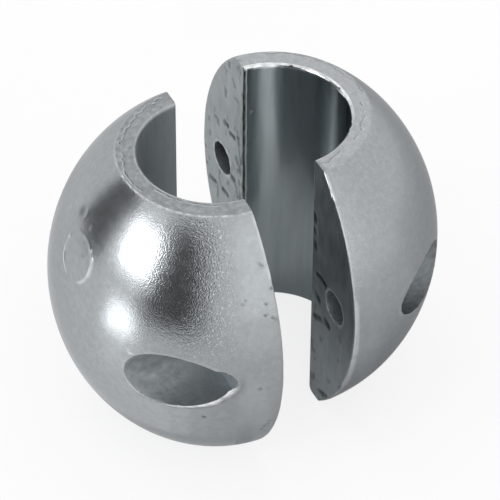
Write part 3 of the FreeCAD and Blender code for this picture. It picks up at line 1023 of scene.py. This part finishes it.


# What differs between the halves. Lengths are in millimetres, turns in degrees from +X, and
# amounts run from 0 to 1. worn: side, low and high end, extra round. pockets: side, radius, and
# the seat's distance from the shaft axis. ring_cracks: radius, swing, depth, first and last turn.
# tears: the two ends as x and z, half width, darkness. patina, which is painted shade: side,
# amount. burrs: side, low and high end, height, width, gleam. bands: side, low and high end, width,
# gleam. round_marks: middle, radius, height, width. marks: middle, radius, height, darkness or
# gleam.
NEAR_HALF = SimpleNamespace(
    seed=1, rows=spaced(-LAND_END, LAND_END, 0.52, [(12.5, 25.5, 0.32)]),
    columns=spaced(0, 1, 0.0048, [(0.44, 0.54, 0.0029)]), line_step=0.6,
    corner_round=0.32, worn=[], pockets=[(1, 7.6, 10.2)], pocket_edge=0.36, chip=0.6, tapped=[-1],
    coarse=(0.3, 2.0), speckle=1.0, crest=0.75, lip=0.25, rim=1.0, blotches=1.0,
    ring_cracks=[(20.4, 0.8, 0.12, 96, 172), (21.2, 0.7, 0.07, 74, 98), (18.6, 0.3, 0.05, 20, 70)],
    crack_stain=0.75, ring_stain=0.19, ring_shine=0.0, edge_groove=0.0,
    pocket_stain=(0.05, 0.33), bore_stain=0.0, tears=[], patina=[(1, 0.2), (-1, 0.1)],
    burrs=[(1, 24.0, 36.4, 0.05, 0.45, 0.6)], bands=[],
    round_marks=[((1.24, -34.5, 18.66), 5.66, 0.26, 0.36)],
    marks=[((3.2, -33.9, 20.6), 0.4, -0.06, 0.25), ((-3.9, -30.5, 26.6), 1.2, -0.08, 0.4),
           ((1.5, -30.8, 26.5), 0.4, 0.07, 0.6), ((32.6, -18.2, -11.2), 0.42, -0.2, 1.0),
           ((37.9, -6.8, -2.2), 0.4, -0.15, 0.7), ((32.9, -8.9, 20.6), 0.35, -0.1, 0.5),
           ((34.3, -3.7, 19.8), 0.35, -0.14, 0.75), ((35.2, -4.2, 17.2), 0.38, -0.14, 0.8),
           ((29.7, -3.2, 28.0), 0.36, -0.12, 0.5), ((30.1, -2.8, 27.5), 0.36, -0.12, 0.7),
           ((32.7, -8.1, 21.4), 0.34, -0.1, 0.4), ((33.0, -1.8, 22.7), 0.4, -0.15, 0.7),
           ((35.7, -2.8, 16.4), 0.32, -0.12, 0.7), ((35.8, -2.4, 16.1), 0.32, -0.12, 0.5),
           ((36.0, -2.0, 15.7), 0.32, -0.12, 0.6), ((34.9, -4.0, -18.2), 0.4, -0.14, 0.6),
           ((21.9, -31.3, 5.6), 0.36, 0.08, 0.9), ((35.1, -3.4, -17.9), 0.34, -0.14, 0.6),
           ((34.7, -3.8, -18.7), 0.3, -0.12, 0.5), ((34.4, -4.0, -19.4), 0.34, -0.14, 0.5),
           ((33.9, -4.4, -20.3), 0.36, -0.14, 0.6), ((33.4, -3.0, -21.9), 0.34, -0.12, 0.5),
           ((35.6, -3.1, -16.4), 0.36, -0.14, 0.6)])

FAR_HALF = SimpleNamespace(
    seed=2, rows=spaced(-LAND_END, LAND_END, 0.52), columns=spaced(0, 1, 0.0052), line_step=0.42,
    corner_round=0.28, worn=[(-1, -34.0, 30.0, 0.12), (-1, -21.0, 8.5, 0.3)],
    pockets=[(1, 7.0, 14.0), (-1, 7.0, 14.0)], pocket_edge=0.3, chip=0.0, tapped=[],
    coarse=(1.0, 0.0), speckle=0.6, crest=0.2, lip=1.0, rim=0.1, blotches=0.3,
    ring_cracks=[(20.5, 0.8, 0.1, 104, 142), (19.5, 0.8, 0.09, 155, 176),
                 (21.6, 0.6, 0.05, 20, 95)],
    crack_stain=0.55, ring_stain=0.0, ring_shine=0.1, edge_groove=1.0,
    pocket_stain=(0.56, 0.0), bore_stain=1.0, patina=[(-1, 0.44), (1, 0.02)],
    tears=[(27.0, 12.7, 25.9, 12.4, 0.68, 0.85), (24.4, 11.1, 22.5, 11.4, 0.62, 0.85),
           (20.6, 12.7, 20.0, 13.2, 0.5, 0.65), (35.3, -11.4, 32.6, -10.7, 0.66, 0.8),
           (28.3, -9.9, 26.2, -9.9, 0.72, 0.8), (23.9, -2.1, 22.6, -2.1, 0.75, 0.8),
           (21.2, 6.1, 20.4, 4.6, 0.5, 0.5), (23.2, 28.8, 22.3, 27.6, 0.45, 0.4),
           (32.3, 10.4, 31.0, 10.4, 0.5, 0.45), (35.4, 3.4, 35.2, 2.5, 0.5, 0.35),
           (35.5, -18.5, 34.9, -19.1, 0.4, 0.4), (19.8, 9.6, 18.7, 6.2, 0.32, 0.55),
           (19.4, 4.4, 19.1, 2.4, 0.34, 0.5), (20.0, -0.1, 19.8, -1.8, 0.36, 0.5),
           (21.2, -4.4, 20.7, -6.4, 0.36, 0.45), (20.2, 12.3, 19.8, 10.8, 0.34, 0.45),
           (19.6, -3.0, 19.3, -9.0, 0.26, 0.5), (20.2, -10.0, 20.0, -16.0, 0.26, 0.4),
           (23.0, 2.9, 22.6, 1.6, 0.5, 0.3), (26.6, 4.9, 25.4, 4.6, 0.45, 0.2),
           (-20.2, 3.6, -22.6, 4.0, 0.45, 0.9), (-22.4, 3.8, -24.7, 3.2, 0.6, 1.0),
           (-18.5, 20.6, -18.8, 19.4, 0.7, 0.8), (-18.6, 16.3, -18.9, 15.5, 0.7, 0.8),
           (-19.1, 12.4, -19.3, 11.3, 0.7, 0.8), (-24.6, -7.6, -26.0, -8.2, 0.8, 0.85),
           (-19.3, -10.6, -22.2, -9.2, 0.7, 0.8), (-22.1, -33.2, -25.8, -31.6, 0.5, 0.8),
           (-20.5, -3.0, -21.3, -4.0, 0.6, 0.75)],
    burrs=[(-1, 31.0, 36.4, 0.3, 0.45, 1.1), (-1, -30.0, 31.0, 0.02, 0.45, 0.45)],
    bands=[(-1, -7.5, 8.5, 1.2, 0.32), (-1, -21.0, -9.0, 0.95, 0.28)],
    round_marks=[], marks=[((17.2, -3.1, 22.8), 0.35, 0.05, 1.0)])

# Colour, the span of the roughness, the grain's size and depth, and its stretch
ZINC = {"cast": ((0.365, 0.386, 0.400), (0.205, 0.255), 0.38, 0.027),
        "face": ((0.35, 0.378, 0.392), (0.24, 0.40), 1.3, 0.012, (1, 1, 0.2)),
        "pocket": ((0.50, 0.535, 0.555), (0.55, 0.68), 0.8, 0.07),
        "bore_dull": ((0.42, 0.45, 0.465), (0.50, 0.60), 1.0, 0.008, (1, 1, 0.15)),
        "bore_drawn": ((0.38, 0.42, 0.436), (0.17, 0.24), 1.0, 0.008, (1, 1, 0.1))}
zinc = {label: zinc_material("zinc_" + label, *values) for label, values in ZINC.items()}
castings = []
for name, half, place, bore in (("near_casting", NEAR_HALF, NEAR_PLACE, "bore_dull"),
                                ("far_casting", FAR_HALF, FAR_PLACE, "bore_drawn")):
    parts = {"cast": zinc["cast"], "face": zinc["face"], "bore": zinc[bore],
             "pocket": zinc["pocket"]}
    castings.append(build_object(name, half, place, parts))
near, far = castings
for piece, node in ((near, "near_half"), (far, "far_half")):
    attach(piece, "root")
    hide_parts(node)
